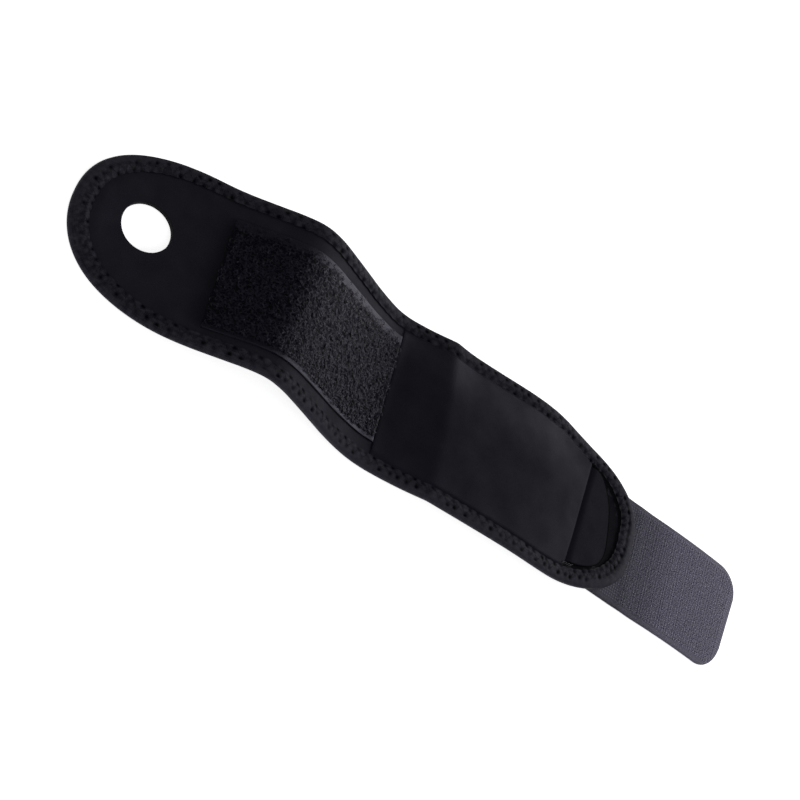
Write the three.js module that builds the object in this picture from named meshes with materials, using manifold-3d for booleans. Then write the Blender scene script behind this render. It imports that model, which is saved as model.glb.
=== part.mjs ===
// A neoprene wrist support with a thumb hole, lying open on a table in a shallow wave.
// The long band is bound all round with folded tape. It carries a loop tape patch, a pocket with a
// flat stay in it, and a hook tape strap sewn under its far end.
// Places on the band are given as (s, y, w): s along the band from its thumb end, y across it from
// the middle line, and w out of it from the middle of its thickness.
import * as THREE from 'three';
import { mergeVertices } from 'three/addons/utils/BufferGeometryUtils.js';
import Module from 'manifold-3d';

// Driving dimensions, in millimetres and degrees.
const GAP = 0.3;
const BAND = { length: 302, width: 70, low: -1.3, high: 1.3 };
const THUMB_HOLE = { s: 30.4, y: 2.1, radius: 10.4, sides: 48, cutter: 10 };
// The tape is wider round the ends than along the sides. Its slot grips the band's thin edge.
const BINDING = { side: 7, thumbEnd: 8, strapEnd: 10.5, wall: 1, low: -2, high: 2 };
const SLOT = { low: -1, high: 0.6 };
const PATCH = { from: 62, to: 158, width: 50, y: -1, askew: 0.03, atS: 110, thickness: 1.6 };
// The band is thinner under the pocket, from the ramp that follows the loop patch.
const POCKET = { from: 158.4, floor: 0.3, ramp: 12, panel: 1, groove: 0.9, edge: 0.95 };
const MOUTH = { s: 269, askew: 0.09 };
const STAY = { from: 176, to: 287, width: 49, thickness: 1, round: { length: 30, power: 3 } };
const STRAP = { width: 50, thickness: 1.8, under: 36, free: 69, corner: 10, seam: 0.4 };
const STRAP_LIE = { y: -2.5, turn: -1.7 };

// Outlines of strips along the band. A rounded end has a length, over which the strip narrows, and
// the power of its curve: 2 is an ellipse, and more is squarer.
const BAND_EDGE = {
  half: BAND.width / 2,
  from: 0,
  to: BAND.length,
  fromRound: { length: 52, power: 2.2 },
  toRound: { length: 80, power: 2.7 },
};
const TAPE_INNER_EDGE = {
  half: BAND.width / 2 - BINDING.side,
  from: BINDING.thumbEnd,
  to: BAND.length - BINDING.strapEnd,
  fromRound: { length: 44, power: 2.2 },
  toRound: { length: 45, power: 2.7 },
};
const STAY_EDGE = { half: STAY.width / 2, from: STAY.from, to: STAY.to, toRound: STAY.round };

// The wave that the band lies in: its slope at stations along it, rising towards the strap end.
// Between two stations the slope changes evenly, so each stretch is an arc.
const WAVE = [
  { at: 0, slope: -6 },
  { at: 25, slope: 8 },
  { at: 50, slope: 13 },
  { at: 66, slope: 23 },
  { at: 80, slope: 25 },
  { at: 88, slope: 14 },
  { at: 96, slope: -5 },
  { at: 106, slope: -22 },
  { at: 130, slope: -24 },
  { at: 148, slope: -16 },
  { at: 162, slope: 5 },
  { at: 178, slope: 13 },
  { at: 195, slope: 4 },
  { at: 225, slope: 1 },
  { at: 255, slope: -11 },
  { at: 274, slope: 0 },
  { at: BAND.length, slope: 0 },
];
const STRAP_END_HEIGHT = STRAP.thickness + STRAP.seam - BINDING.low;
// The wave's crests and valleys run this much off square, in mm along per mm across.
const WAVE_ASKEW = -0.06;
const ROW_STEP = 5;
const END_ROWS = 10;
const BLUNT_TIP = 0.15;
const ACROSS = [-1, -0.5, 0, 0.5, 1];

const wasm = await Module();
wasm.setup();

// The middle line of the band's thickness: x, z and slope (in radians) at s, starting at height 0.
function middleLine(s) {
  const line = { x: 0, z: 0, slope: 0 };
  for (let i = 0; i + 1 < WAVE.length; i += 1) {
    const start = WAVE[i].at;
    const span = WAVE[i + 1].at - start;
    const from = THREE.MathUtils.degToRad(WAVE[i].slope);
    const bend = (THREE.MathUtils.degToRad(WAVE[i + 1].slope) - from) / span;
    const last = s < start + span || i + 2 === WAVE.length;
    const run = last ? s - start : span;
    line.slope = from + bend * run;
    if (Math.abs(bend) < 1e-9) {
      line.x += run * Math.cos(from);
      line.z += run * Math.sin(from);
    } else {
      line.x += (Math.sin(line.slope) - Math.sin(from)) / bend;
      line.z += (Math.cos(from) - Math.cos(line.slope)) / bend;
    }
    if (last) {
      break;
    }
  }
  return line;
}

const LIFT = STRAP_END_HEIGHT - middleLine(BAND.length).z;

// The point in space of a place (s, y, w) on the laid band.
function lay(s, y, w) {
  const { x, z, slope } = middleLine(s + WAVE_ASKEW * y);
  return [x - WAVE_ASKEW * y - w * Math.sin(slope), y, z + LIFT + w * Math.cos(slope)];
}

// Half the width of an outline at s.
function halfWidth({ half, from, to, fromRound, toRound }, s) {
  const fromReach = fromRound ? (from + fromRound.length - s) / fromRound.length : 0;
  const toReach = toRound ? (s - to + toRound.length) / toRound.length : 0;
  const [reach, power] = fromReach > 0 ? [fromReach, fromRound.power] : [toReach, toRound?.power];
  return reach > 0 ? half * (1 - reach ** power) ** (1 / power) : half;
}

// An outline moved in by the same distance all round.
function movedIn({ half, from, to, fromRound, toRound }, by) {
  return {
    half: half - by,
    from: from + by,
    to: to - by,
    fromRound: { ...fromRound, length: fromRound.length - by },
    toRound: { ...toRound, length: toRound.length - by },
  };
}

// The stations of an outline's rows: close together where an end is rounded, and even between.
function rowsOf({ from, to, fromRound, toRound }) {
  const rows = [];
  const start = fromRound ? from + fromRound.length : from;
  const stop = toRound ? to - toRound.length : to;
  for (let i = 0; fromRound && i < END_ROWS; i += 1) {
    rows.push(from + Math.max(BLUNT_TIP, fromRound.length * (i / END_ROWS) ** 2));
  }
  rows.push(start);
  for (let s = ROW_STEP * Math.ceil((start + 1) / ROW_STEP); s < stop - 1; s += ROW_STEP) {
    rows.push(s);
  }
  rows.push(stop);
  for (let i = END_ROWS - 1; toRound && i >= 0; i -= 1) {
    rows.push(to - Math.max(BLUNT_TIP, toRound.length * (i / END_ROWS) ** 2));
  }
  return rows;
}

// A solid from a closed three.js geometry.
function solidOf(geometry) {
  geometry.deleteAttribute('normal');
  geometry.deleteAttribute('uv');
  const merged = mergeVertices(geometry);
  const vertProperties = new Float32Array(merged.attributes.position.array);
  const triVerts = new Uint32Array(merged.index.array);
  return new wasm.Manifold(new wasm.Mesh({ numProp: 3, vertProperties, triVerts }));
}

// A sheet laid on the wave, between the heights low and high over the band's middle line.
// It is a segmented box whose rows run along the outline and whose columns share out its width.
function sheet(outline, low, high, options = {}) {
  const { rows = rowsOf(outline), columns = ACROSS, middle = () => 0, along = (s) => s } = options;
  const box = new THREE.BoxGeometry(1, 1, 1, rows.length - 1, columns.length - 1, 1);
  const place = box.attributes.position;
  for (let i = 0; i < place.count; i += 1) {
    const s = rows[Math.round((place.getX(i) + 0.5) * (rows.length - 1))];
    const share = columns[Math.round((place.getY(i) + 0.5) * (columns.length - 1))];
    const y = middle(s) + share * halfWidth(outline, s);
    const w = place.getZ(i) > 0 ? high(s, share) : low(s, share);
    place.setXYZ(i, ...lay(along(s, y), y, w));
  }
  return solidOf(box);
}

// A sheet between two even heights.
function evenSheet(outline, low, high, options) {
  return sheet(outline, () => low, () => high, options);
}

// A named mesh from a solid.
function piece(name, solid, color, roughness) {
  const { numProp, vertProperties, triVerts } = solid.getMesh();
  const data = new THREE.InterleavedBuffer(vertProperties, numProp);
  const geometry = new THREE.BufferGeometry();
  geometry.setAttribute('position', new THREE.InterleavedBufferAttribute(data, 3, 0));
  geometry.setIndex(new THREE.BufferAttribute(triVerts, 1));
  geometry.computeVertexNormals();
  const mesh = new THREE.Mesh(geometry, new THREE.MeshStandardMaterial({ color, roughness, metalness: 0 }));
  mesh.name = name;
  return mesh;
}

// The band's upper face: full thickness as far as the pocket, then down a soft ramp to its floor.
function bandTop(s) {
  const down = THREE.MathUtils.smoothstep(s, POCKET.from, POCKET.from + POCKET.ramp);
  return THREE.MathUtils.lerp(BAND.high, POCKET.floor, down);
}

// The thumb hole's cutter: a short round bar square to the band.
function thumbHoleBar() {
  const { s, y, radius, sides, cutter } = THUMB_HOLE;
  const { slope } = middleLine(s + WAVE_ASKEW * y);
  const bar = new THREE.CylinderGeometry(radius, radius, cutter, sides);
  bar.rotateX(Math.PI / 2);
  bar.rotateY(-slope);
  bar.translate(...lay(s, y, 0));
  return solidOf(bar);
}

// The band: a full-thickness body with a thin tongue all round that the binding grips.
function neopreneBand() {
  const body = sheet(movedIn(TAPE_INNER_EDGE, GAP), () => BAND.low, bandTop);
  const tongueEdge = movedIn(BAND_EDGE, BINDING.wall + GAP);
  const tongue = evenSheet(tongueEdge, SLOT.low + GAP, SLOT.high - GAP);
  return piece('neoprene_band', body.add(tongue).subtract(thumbHoleBar()), 0x1a191e, 0.85);
}

// The binding: a tape folded over the band's edge, so a closed ring with a slot for the tongue.
function edgeBinding() {
  const folded = evenSheet(BAND_EDGE, BINDING.low, BINDING.high);
  const opening = evenSheet(TAPE_INNER_EDGE, 3 * BINDING.low, 3 * BINDING.high);
  const slot = evenSheet(movedIn(BAND_EDGE, BINDING.wall), SLOT.low, SLOT.high);
  return piece('edge_binding', folded.subtract(opening).subtract(slot), 0x1c1b20, 0.8);
}

// The loop tape patch, sewn on a little askew over the crest of the wave.
function loopPatch() {
  const low = BAND.high + GAP;
  const outline = { half: PATCH.width / 2, from: PATCH.from, to: PATCH.to };
  const middle = (s) => PATCH.y + PATCH.askew * (s - PATCH.atS);
  return piece('loop_patch', evenSheet(outline, low, low + PATCH.thickness, { middle }), 0x17161b, 0.95);
}

// The pocket's upper panel. Its long sides come down to the band beside the stay, and its far end is
// the straight cut edge of the pocket's mouth.
function pocketPanel() {
  const crown = STAY.thickness + GAP;
  const low = (s, share) => {
    const over = THREE.MathUtils.smoothstep(s, POCKET.from, POCKET.from + POCKET.ramp);
    return bandTop(s) + GAP + (Math.abs(share) < 1 ? crown * over : 0);
  };
  const high = (s, share) => low(s, share) + POCKET.panel;
  const solid = sheet(movedIn(TAPE_INNER_EDGE, POCKET.groove), low, high, {
    rows: rowsOf({ from: POCKET.from, to: MOUTH.s }),
    columns: [-1, -POCKET.edge, -POCKET.edge / 2, 0, POCKET.edge / 2, POCKET.edge, 1],
    along: (s, y) => (s === MOUTH.s ? s + MOUTH.askew * y : s),
  });
  return piece('pocket_panel', solid, 0x1f1e23, 0.8);
}

// The flat stay in the pocket. Its rounded end shows in the mouth.
function stayPad() {
  const low = POCKET.floor + GAP;
  return piece('stay_pad', evenSheet(STAY_EDGE, low, low + STAY.thickness), 0x1b1a1f, 0.8);
}

// The hook tape strap: flat on the table, with its inner end sewn under the band.
function hookStrap() {
  const { width, thickness, under, free, corner } = STRAP;
  const outline = new THREE.Shape();
  outline.moveTo(-under, -width / 2);
  outline.lineTo(free - corner, -width / 2);
  outline.absarc(free - corner, corner - width / 2, corner, -Math.PI / 2, 0);
  outline.absarc(free - corner, width / 2 - corner, corner, 0, Math.PI / 2);
  outline.lineTo(-under, width / 2);
  const flat = { depth: thickness, bevelEnabled: false, curveSegments: 8 };
  const tape = solidOf(new THREE.ExtrudeGeometry(outline, flat));
  const strap = piece('hook_strap', tape, 0x55535d, 0.9);
  strap.position.set(middleLine(BAND.length).x, STRAP_LIE.y, 0);
  strap.rotation.z = THREE.MathUtils.degToRad(STRAP_LIE.turn);
  return strap;
}

const support = new THREE.Group();
support.add(neopreneBand(), edgeBinding(), loopPatch(), pocketPanel(), stayPad(), hookStrap());

// The origin is at the middle of the bottom of the whole support's box.
const box = new THREE.Box3().setFromObject(support);
const centre = box.getCenter(new THREE.Vector3());
const wristSupport = new THREE.Group();
wristSupport.add(support);
support.position.set(-centre.x, -centre.y, -box.min.z);

export default wristSupport;
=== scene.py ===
"""A neoprene wrist support with a thumb hole, lying open on a pale table in a shallow wave.

Places on the band are given in millimetres as (s, y, w): s along it from the thumb end, y across it
from the middle line, and w out of it from the middle of its thickness. Laying a piece on the wave
turns them into metres in the frame.
"""

import math

import bmesh
import bpy
from bl_math import clamp, smoothstep
from mathutils import Matrix, Vector, noise
from mathutils.kdtree import KDTree


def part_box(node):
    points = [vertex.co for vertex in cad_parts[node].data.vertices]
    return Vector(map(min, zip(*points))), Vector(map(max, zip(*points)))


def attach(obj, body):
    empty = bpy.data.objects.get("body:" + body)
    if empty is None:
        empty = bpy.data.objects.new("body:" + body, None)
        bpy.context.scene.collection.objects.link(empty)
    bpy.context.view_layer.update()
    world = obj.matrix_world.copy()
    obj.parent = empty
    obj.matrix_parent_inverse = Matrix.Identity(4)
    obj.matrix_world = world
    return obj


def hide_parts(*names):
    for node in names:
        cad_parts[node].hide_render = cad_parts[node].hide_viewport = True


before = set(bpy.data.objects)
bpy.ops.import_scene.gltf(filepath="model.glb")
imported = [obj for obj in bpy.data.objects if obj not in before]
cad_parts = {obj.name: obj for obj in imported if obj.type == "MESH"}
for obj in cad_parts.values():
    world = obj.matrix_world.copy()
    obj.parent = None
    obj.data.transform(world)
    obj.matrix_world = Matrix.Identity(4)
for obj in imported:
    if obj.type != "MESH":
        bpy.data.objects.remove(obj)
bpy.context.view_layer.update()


# Neoprene band: chloroprene foam with nylon jersey bonded to both faces, die cut to its outline and
# thumb hole. It is pressed thin along the edge that the binding grips, and thinner under the pocket.
MM = 0.001
BAND_TOP, BAND_FOOT = 1.3, -1.3
BAND_LENGTH = 302
TONGUE_TOP, TONGUE_FOOT = 0.4, -0.9
PRESSED_TOP, PRESSED_FOOT, PRESSED_REACH = 0.9, -1.0, 2.2
POCKET_START, POCKET_FLOOR, POCKET_RAMP = 158.4, 0.3, 12
THUMB_HOLE = Vector((30.6, 1.8, 0))
HOLE_RINGS = 13.6, 12.4, 11.4, 10.7, 10.3
HOLE_ROUNDING = 0.35
ROW_STEP, COLUMN_STEP, COLUMNS_ASIDE = 2, 3.5, 9
OUTLINE_STEPS, HOLE_STEPS = 300, 72

# Outlines of strips along the band. Each rounded end has a length, over which the strip narrows, and
# the power of its curve: 2 is an ellipse, and more is squarer.
BAND_EDGE = {
    "half": 36.2, "start": -0.1, "end": BAND_LENGTH + 0.8, "start_round": (52, 2.2), "end_round": (80, 2.7),
}
TAPE_INNER_EDGE = {"half": 29.8, "start": 8, "end": 293.2, "start_round": (45, 2.2), "end_round": (56, 2.3)}
TONGUE_INSET = 1.3

# The wave: the band's slope in degrees at stations along it. Between two stations it bends evenly.
WAVE = [
    (0, -6.5), (25, 8), (52, 13.5), (66, 23), (80, 25), (89, 16.5), (98, -11), (107, -22), (130, -24),
    (148, -16), (162, 5), (178, 14), (185.5, 15), (187.5, 2.5), (195, 2), (225, 0), (255, -10), (274, 0),
    (BAND_LENGTH, 0),
]
WAVE_ASKEW, ASKEW_CHANGE, ASKEW_ALONG = -0.06, 0.12, (140, 185)
STRAP_END_HEIGHT = 4.2
SWELL, SWELL_SIZE = 0.2, 28
SAG, SAG_ALONG, SAG_ACROSS = 1.7, (185, 199, 250), (0, 32)
THUMB_BOW, THUMB_BOW_END = 0.2, 70
STRAP_BOW, STRAP_BOW_ALONG = -0.8, (235, 288)
THUMB_SHEAR, THUMB_SHEAR_REACH = 0.05, 60


def middle_line(s):
    """x, z and slope of the middle of the band's thickness at s, from a start at height 0."""
    x = z = 0.0
    for (start, tilt), (end, next_tilt) in zip(WAVE, WAVE[1:]):
        first = math.radians(tilt)
        bend = math.radians(next_tilt - tilt) / (end - start)
        last = s < end or end == BAND_LENGTH
        run = s - start if last else end - start
        slope = first + bend * run
        if bend:
            x += (math.sin(slope) - math.sin(first)) / bend
            z += (math.cos(first) - math.cos(slope)) / bend
        else:
            x += run * math.cos(first)
            z += run * math.sin(first)
        if last:
            return x, z, slope


LIFT = STRAP_END_HEIGHT - middle_line(BAND_LENGTH)[1]
# The binding's lower corner at the thumb end is the frame's lowest x, just before the line's start.
THUMB_END_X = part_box("edge_binding")[0].x / MM + 0.06


def lay(s, y, w):
    """A place on the band as a point in the frame. The band lies unevenly, sags and bows."""
    askew = y * (WAVE_ASKEW + ASKEW_CHANGE * smoothstep(*ASKEW_ALONG, s))
    x, z, slope = middle_line(s + askew)
    w += SWELL * (1 + noise.noise(Vector((s, y, 0)) / SWELL_SIZE))
    first, lowest, last = SAG_ALONG
    fall = clamp((s + askew - first) / (lowest - first))
    w -= SAG * smoothstep(*SAG_ACROSS, y) * fall * (2 - fall) * (1 - smoothstep(lowest, last, s))
    sheared = THUMB_SHEAR * y * (1 - smoothstep(0, THUMB_SHEAR_REACH, s))
    along = x - askew + sheared + THUMB_END_X
    aside = THUMB_BOW * (1 - smoothstep(0, THUMB_BOW_END, s)) + STRAP_BOW * smoothstep(*STRAP_BOW_ALONG, s)
    return MM * Vector((along - w * math.sin(slope), y + aside, z + LIFT + w * math.cos(slope)))


def half_width(edge, s):
    """Half the width of a strip at s."""
    (start_length, start_power), (end_length, end_power) = edge["start_round"], edge["end_round"]
    reach, power = 1 - (s - edge["start"]) / start_length, start_power
    if reach <= 0:
        reach, power = 1 - (edge["end"] - s) / end_length, end_power
    return edge["half"] * (1 - clamp(reach) ** power) ** (1 / power)


def moved_in(edge, by):
    """A strip's outline moved in by the same distance all round."""
    rounds = {side: (edge[side][0] - by, edge[side][1]) for side in ("start_round", "end_round")}
    return {"half": edge["half"] - by, "start": edge["start"] + by, "end": edge["end"] - by, **rounds}


def edge_line(edge, count):
    """Evenly spaced places round a strip's outline, from its thumb-end tip, and the outline's length."""
    (start_length, start_power), (end_length, end_power) = edge["start_round"], edge["end_round"]
    turns = [math.pi / 2 * i / 200 for i in range(201)]
    side = [
        (edge["start"] + start_length * (1 - math.cos(a) ** (2 / start_power)),
         edge["half"] * math.sin(a) ** (2 / start_power))
        for a in turns
    ] + [
        (edge["end"] - end_length * (1 - math.cos(a) ** (2 / end_power)),
         edge["half"] * math.sin(a) ** (2 / end_power))
        for a in reversed(turns)
    ]
    drawn = [Vector(place) for place in side + [(s, -y) for s, y in reversed(side)]]
    lengths = [(b - a).length for a, b in zip(drawn, drawn[1:])]
    step = sum(lengths) / count
    line, passed = [], 0.0
    for a, b, length in zip(drawn, drawn[1:], lengths):
        while len(line) < count and len(line) * step <= passed + length:
            line.append(a.lerp(b, (len(line) * step - passed) / length) if length else a.copy())
        passed += length
    return line, step * count


def search_tree(places):
    """A tree that finds the nearest of a list of places."""
    tree = KDTree(len(places))
    for number, (s, y) in enumerate(places):
        tree.insert((s, y, 0), number)
    tree.balance()
    return tree


SEARCH_STEPS = 800
tape_tree = search_tree(edge_line(TAPE_INNER_EDGE, SEARCH_STEPS)[0])


def inside_tape(s, y):
    """How far a place is inside the binding's inner edge. Under the tape it is negative."""
    distance = tape_tree.find((s, y, 0))[2]
    return distance if abs(y) < half_width(TAPE_INNER_EDGE, s) else -distance


def band_top(s, y):
    full = BAND_TOP + (POCKET_FLOOR - BAND_TOP) * smoothstep(0, POCKET_RAMP, s - POCKET_START)
    inside = inside_tape(s, y)
    pressed = PRESSED_TOP + (BAND_TOP - PRESSED_TOP) * smoothstep(0, PRESSED_REACH, inside)
    return min(full, pressed if inside > 0 else TONGUE_TOP)


def band_foot(s, y):
    inside = inside_tape(s, y)
    pressed = PRESSED_FOOT + (BAND_FOOT - PRESSED_FOOT) * smoothstep(0, PRESSED_REACH, inside)
    return pressed if inside > 0 else TONGUE_FOOT


def keep_flat_cut(bm):
    """Keeps a piece's flat cut as a UV map in metres."""
    flat = bm.loops.layers.uv.new("flat")
    for face in bm.faces:
        for corner in face.loops:
            corner[flat].uv = corner.vert.co.xy * MM


def lay_on_wave(bm):
    keep_flat_cut(bm)
    for vert in bm.verts:
        vert.co = lay(*vert.co)


def verts_in(geometry):
    return [item for item in geometry if isinstance(item, bmesh.types.BMVert)]


def round_edges(bm, edges, by):
    bmesh.ops.bevel(
        bm, geom=edges, affect="EDGES", offset=by, offset_type="OFFSET", segments=2, profile=0.5, material=-1
    )


def add_object(name, data):
    added = bpy.data.objects.new(name, data)
    bpy.context.scene.collection.objects.link(added)
    return added


def make_piece(name, bm, *materials, crease=40):
    """An object from a finished mesh, smooth apart from edges that turn more than crease degrees."""
    mesh = bpy.data.meshes.new(name)
    bm.to_mesh(mesh)
    bm.free()
    mesh.shade_smooth()
    mesh.set_sharp_from_angle(angle=math.radians(crease))
    for material in materials:
        mesh.materials.append(material)
    piece = add_object(name, mesh)
    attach(piece, "root")
    return piece


def colour(code):
    """A linear colour from an sRGB hex value."""
    shares = [int(code[i:i + 2], 16) / 255 for i in (0, 2, 4)]
    return [c / 12.92 if c <= 0.04045 else ((c + 0.055) / 1.055) ** 2.4 for c in shares] + [1]


def new_material(name):
    material = bpy.data.materials.new(name)
    material.use_nodes = True
    return material


def set_sockets(node, sockets):
    """Gives each named socket of a node its value, or the output of another node."""
    for name, value in sockets.items():
        if isinstance(value, bpy.types.NodeSocket):
            node.id_data.links.new(value, node.inputs[name])
        else:
            node.inputs[name].default_value = value


def add_node(material, kind, sockets, **settings):
    """Adds a node to a material, with its settings and its sockets."""
    node = material.node_tree.nodes.new(kind)
    for name, value in settings.items():
        setattr(node, name, value)
    set_sockets(node, sockets)
    return node


def surface_of(material):
    return material.node_tree.nodes["Principled BSDF"]


def set_surface(material, sockets):
    set_sockets(surface_of(material), sockets)


def feeding(material, socket):
    """The output that feeds a socket of a material's surface."""
    return surface_of(material).inputs[socket].links[0].from_socket


# Nylon jersey is a fine matt knit with a soft sheen at a slant. Its loops, 0.35 mm apart, are drawn
# at 0.8 mm so that they show, and the dye takes a little unevenly over a centimetre or so.
JERSEY_PITCH, JERSEY_MOTTLE = 0.8 * MM, 11 * MM
RELIEF_DEPTH = 0.2 * MM
NYLON_SHEEN = "dcd8ff"
# A wave texture of scale 1 repeats every pi / 10, so this over a pitch gives that pitch.
WAVE_TURN = math.pi / 10


def jersey(name, dark, light, gloss):
    material = new_material(name)
    flat = add_node(material, "ShaderNodeUVMap", {}, uv_map="flat").outputs["UV"]
    mottle = add_node(
        material, "ShaderNodeTexNoise", {"Vector": flat, "Scale": 1 / JERSEY_MOTTLE, "Detail": 4}
    ).outputs["Fac"]
    dye = add_node(
        material, "ShaderNodeMix", {0: mottle, 6: colour(dark), 7: colour(light)}, data_type="RGBA"
    )
    rows = {"Vector": flat, "Scale": WAVE_TURN / JERSEY_PITCH, "Distortion": 1.5}
    wales = add_node(material, "ShaderNodeTexWave", rows).outputs["Fac"]
    courses = add_node(material, "ShaderNodeTexWave", rows, bands_direction="Y").outputs["Fac"]
    knit = add_node(material, "ShaderNodeMath", {0: wales, 1: courses}, operation="MULTIPLY").outputs[0]
    relief = add_node(
        material, "ShaderNodeBump", {"Height": knit, "Strength": 0.12, "Distance": RELIEF_DEPTH}
    )
    rubbed = add_node(
        material, "ShaderNodeMapRange", {"Value": mottle, 1: 0.3, 2: 0.7, 3: 0.75 * gloss, 4: 1.25 * gloss}
    )
    set_surface(material, {
        "Base Color": dye.outputs[2],
        "Normal": relief.outputs["Normal"],
        "Specular IOR Level": rubbed.outputs[0],
        "Specular Tint": colour(NYLON_SHEEN),
        "Roughness": 0.5,
    })
    return material


def paint_towards(material, attribute, dye):
    """Paints a material's colour towards another colour where the piece's attribute says so: painted shade
    or painted light.
    """
    plain = feeding(material, "Base Color")
    share = add_node(material, "ShaderNodeAttribute", {}, attribute_name=attribute).outputs["Fac"]
    mixed = add_node(material, "ShaderNodeMix", {0: share, 6: plain, 7: colour(dye)}, data_type="RGBA")
    set_surface(material, {"Base Color": mixed.outputs[2]})


# The band's jersey on the pocket's floor, seen in the recess beyond the stay, is a darker and duller copy of
# it: painted shade.
shaded_pocket_floor = jersey("shaded_jersey_pocket_floor", "100f13", "1b1a1f", 0.004)
band_jersey = jersey("nylon_jersey_on_neoprene", "1a191f", "25242b", 0.034)

# Beside the loop tape's first end the jersey is painted darker over about 11 mm: painted shade from the
# tape's edge.
PATCH_EDGE_SHADE, PATCH_SHADE_ALONG, PATCH_SHADE_ACROSS, PATCH_SHADE_MIDDLE = 0.55, (52, 63), (21, 27), -2.4
paint_towards(band_jersey, "patch_edge_shade", "0a090c")

# Chloroprene foam shows only where the die cut through it: black, with closed cells 0.4 mm across.
FOAM_CELL = 0.4 * MM
foam = new_material("cut_chloroprene_foam")
place = add_node(foam, "ShaderNodeTexCoord", {}).outputs["Object"]
cells = add_node(foam, "ShaderNodeTexVoronoi", {"Vector": place, "Scale": 1 / FOAM_CELL}).outputs["Distance"]
cell_dye = add_node(
    foam, "ShaderNodeMix", {0: cells, 6: colour("0a090c"), 7: colour("141317")}, data_type="RGBA"
)
cell_relief = add_node(foam, "ShaderNodeBump", {"Height": cells, "Strength": 0.6, "Distance": RELIEF_DEPTH})
set_surface(foam, {
    "Base Color": cell_dye.outputs[2],
    "Normal": cell_relief.outputs["Normal"],
    "Specular IOR Level": 0.05,
    "Roughness": 0.7,
})

bm = bmesh.new()
tongue_line = edge_line(moved_in(BAND_EDGE, TONGUE_INSET), OUTLINE_STEPS)[0]
outline = [bm.verts.new((*place, 0)) for place in tongue_line]
for a, b in zip(outline, outline[1:] + outline[:1]):
    bm.edges.new((a, b))
bmesh.ops.create_circle(bm, segments=HOLE_STEPS, radius=HOLE_RINGS[0], matrix=Matrix.Translation(THUMB_HOLE))
bmesh.ops.triangle_fill(bm, use_beauty=True, edges=bm.edges[:])
cuts = [(Vector((s, 0, 0)), Vector((1, 0, 0))) for s in range(ROW_STEP, BAND_LENGTH, ROW_STEP)]
columns = range(-COLUMNS_ASIDE, COLUMNS_ASIDE + 1)
cuts += [(Vector((0, number * COLUMN_STEP, 0)), Vector((0, 1, 0))) for number in columns]
for point, across in cuts:
    geometry = bm.verts[:] + bm.edges[:] + bm.faces[:]
    bmesh.ops.bisect_plane(bm, geom=geometry, dist=1e-4, plane_co=point, plane_no=across)
slanting = [
    edge for edge in bm.edges
    if not edge.is_boundary and min(abs(c) for c in (edge.verts[0].co - edge.verts[1].co).xy) > 1e-3
]
bmesh.ops.dissolve_edges(bm, edges=slanting)
# Where they crossed the grid they leave points between two edges, which go too.
between = [vert for vert in bm.verts if len(vert.link_edges) == 2 and not vert.is_boundary]
bmesh.ops.dissolve_verts(bm, verts=between)
rim = [
    edge for edge in bm.edges
    if edge.is_boundary and (edge.verts[0].co - THUMB_HOLE).length < HOLE_RINGS[0] + 1
]
for radius in HOLE_RINGS[1:]:
    grown = bmesh.ops.extrude_edge_only(bm, edges=rim)["geom"]
    rim = [item for item in grown if isinstance(item, bmesh.types.BMEdge)]
    for vert in {vert for edge in rim for vert in edge.verts}:
        vert.co = THUMB_HOLE + (vert.co - THUMB_HOLE).normalized() * radius
for vert in verts_in(bmesh.ops.extrude_face_region(bm, geom=bm.faces[:])["geom"]):
    vert.co.z = 1
# Painted shade: the band's upper face is painted darker just before the loop tape's first end.
patch_shade_layer = bm.verts.layers.float.new("patch_edge_shade")
for vert in bm.verts:
    s, y, upper = vert.co
    vert.co.z = band_top(s, y) if upper else band_foot(s, y)
    along, across = smoothstep(*PATCH_SHADE_ALONG, s), smoothstep(*PATCH_SHADE_ACROSS, abs(y - PATCH_SHADE_MIDDLE))
    vert[patch_shade_layer] = PATCH_EDGE_SHADE * upper * along * (1 - across)
bmesh.ops.recalc_face_normals(bm, faces=bm.faces)
hole_wall = [
    face for face in bm.faces
    if all((vert.co.xy - THUMB_HOLE.xy).length < HOLE_RINGS[-1] + 0.01 for vert in face.verts)
]
for face in hole_wall:
    face.material_index = 1
# Faces on the pocket's floor take the shaded copy of the jersey, as painted shade.
for face in bm.faces:
    s, y, w = face.calc_center_median()
    if w > 0 and s > POCKET_START + POCKET_RAMP and inside_tape(s, y) > 0:
        face.material_index = 2
lips = [
    edge for face in hole_wall for edge in face.edges
    if abs(edge.verts[0].co.z - edge.verts[1].co.z) < 0.5
]
round_edges(bm, lips, HOLE_ROUNDING)
lay_on_wave(bm)
band = make_piece("band", bm, band_jersey, foam, shaded_pocket_floor)
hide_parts("neoprene_band")


# Loop tape patch: a 50 mm nylon tape knitted with a raised loop pile, cut to length and sewn over the
# crest of the wave. Its long edges are plain selvages, and its pile parts along the seam.
PATCH_START, PATCH_END = 62, 158
PATCH_HALF = 25
PATCH_ASKEW, PATCH_MIDDLE = 0.03, (110, -1)
PATCH_FOOT, PATCH_TOP = 1.35, 2.0
PATCH_ROUNDING, CUT_END = 0.2, 0.5
SELVAGES = 1.8, 3.6


def patch_middle(s):
    """The patch's middle line across the band: it is sewn on a little askew."""
    return PATCH_MIDDLE[1] + PATCH_ASKEW * (s - PATCH_MIDDLE[0])


def strip_grid(rows, columns):
    """A flat bmesh grid whose vertices carry their row and column numbers as x and y."""
    bm = bmesh.new()
    bmesh.ops.create_grid(bm, x_segments=rows, y_segments=columns, size=0.5)
    for vert in bm.verts:
        vert.co = (round((vert.co.x + 0.5) * rows), round((vert.co.y + 0.5) * columns), 0)
    return bm


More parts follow.
